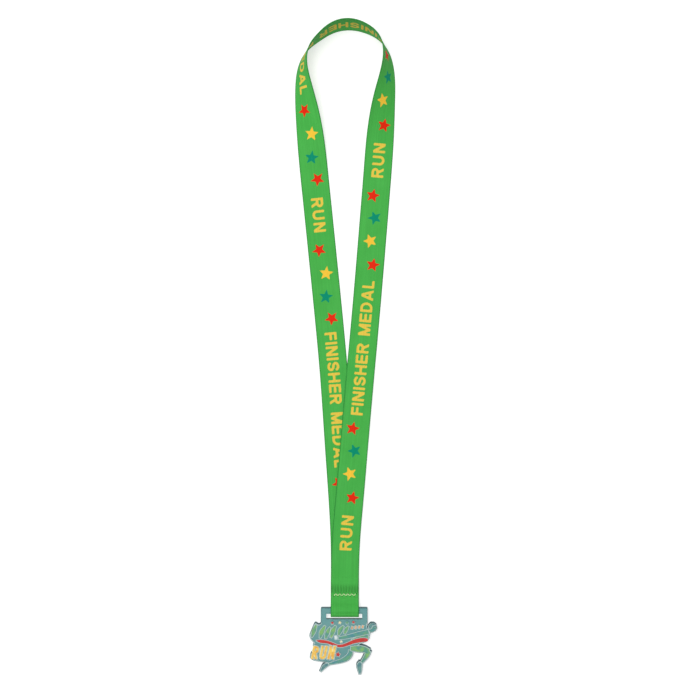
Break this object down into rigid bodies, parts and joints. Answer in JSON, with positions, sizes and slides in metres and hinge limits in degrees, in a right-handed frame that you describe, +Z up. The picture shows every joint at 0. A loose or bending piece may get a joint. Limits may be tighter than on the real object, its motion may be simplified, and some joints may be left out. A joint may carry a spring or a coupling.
{
  "type": "sports finisher medal",
  "caption": "Cast enamelled runner medal hung by its slotted tab in the sewn loop of a printed neck ribbon that lies in a long V.",
  "frame": {"origin": "bottom centre of the whole object's box as it lies face up on a flat surface", "axes": "+X to the runner's front, +Y from the medal up the ribbon to the neck arch, +Z up from the surface, out of the medal's face"},
  "size_m": [0.0718, 0.4616, 0.02],
  "materials": {
    "ribbon_satin": "dye-printed satin polyester ribbon, fine cross ribs, satin",
    "stitching": "light green polyester lockstitch thread, satin",
    "cast_alloy": "die-cast zinc alloy, nickel plated, sandblasted field and polished lines",
    "enamel_green": "soft enamel, satin gloss",
    "enamel_teal": "soft enamel, satin gloss",
    "enamel_dark_teal": "soft enamel, satin gloss",
    "enamel_red": "soft enamel, satin gloss",
    "enamel_yellow": "soft enamel, satin gloss",
    "enamel_cream": "soft enamel, satin gloss",
    "enamel_amber": "soft enamel, satin gloss",
    "enamel_white": "soft enamel, satin gloss"
  },
  "bodies": {
    "ribbon": {"ribbon_right_strap": "ribbon_satin", "ribbon_left_strap": "ribbon_satin", "ribbon_neck_arch": "ribbon_satin", "ribbon_sewn_tail": "ribbon_satin", "seam_thread": "stitching"},
    "loop": {"ribbon_slot_loop": "ribbon_satin"},
    "medal": {"medal_casting": "cast_alloy", "enamel_star_red_left": "enamel_red", "enamel_star_red_right": "enamel_red", "enamel_star_big": "enamel_red", "enamel_star_cream": "enamel_cream", "enamel_star_small": "enamel_cream", "enamel_star_green": "enamel_green", "enamel_finish_tape": "enamel_red", "enamel_runner_hand": "enamel_white", "enamel_runner_arm": "enamel_teal", "enamel_runner_torso": "enamel_green", "enamel_front_leg": "enamel_green", "enamel_front_shoe": "enamel_dark_teal", "enamel_rear_leg": "enamel_teal", "enamel_rear_shoe": "enamel_dark_teal", "enamel_lobe_stroke": "enamel_green", "enamel_runner_hair": "enamel_dark_teal", "enamel_runner_face": "enamel_teal", "enamel_speed_stroke_1": "enamel_green", "enamel_speed_stroke_2": "enamel_green", "enamel_speed_stroke_3": "enamel_green", "enamel_speed_stroke_4": "enamel_green", "enamel_speed_stroke_5": "enamel_green", "enamel_lap_bar_1": "enamel_amber", "enamel_lap_bar_2": "enamel_amber", "enamel_lap_bar_3": "enamel_amber", "enamel_lap_bar_4": "enamel_amber", "enamel_letter_bed_1": "enamel_cream", "enamel_letter_1": "enamel_yellow", "enamel_letter_bed_2": "enamel_cream", "enamel_letter_2": "enamel_yellow", "enamel_letter_bed_3": "enamel_cream", "enamel_letter_3": "enamel_yellow"}
  },
  "joints": [
    {"name": "loop_flex", "type": "hinge", "parent": "ribbon", "child": "loop", "pos_m": [-0.00015, -0.17627, 0.0015], "axis": [1, 0, 0], "range_deg": [-25, 25]},
    {"name": "medal_swing", "type": "hinge", "parent": "loop", "child": "medal", "pos_m": [-0.0006, -0.18467, 0.0037], "axis": [1, 0, 0], "range_deg": [-120, 120]}
  ]
}
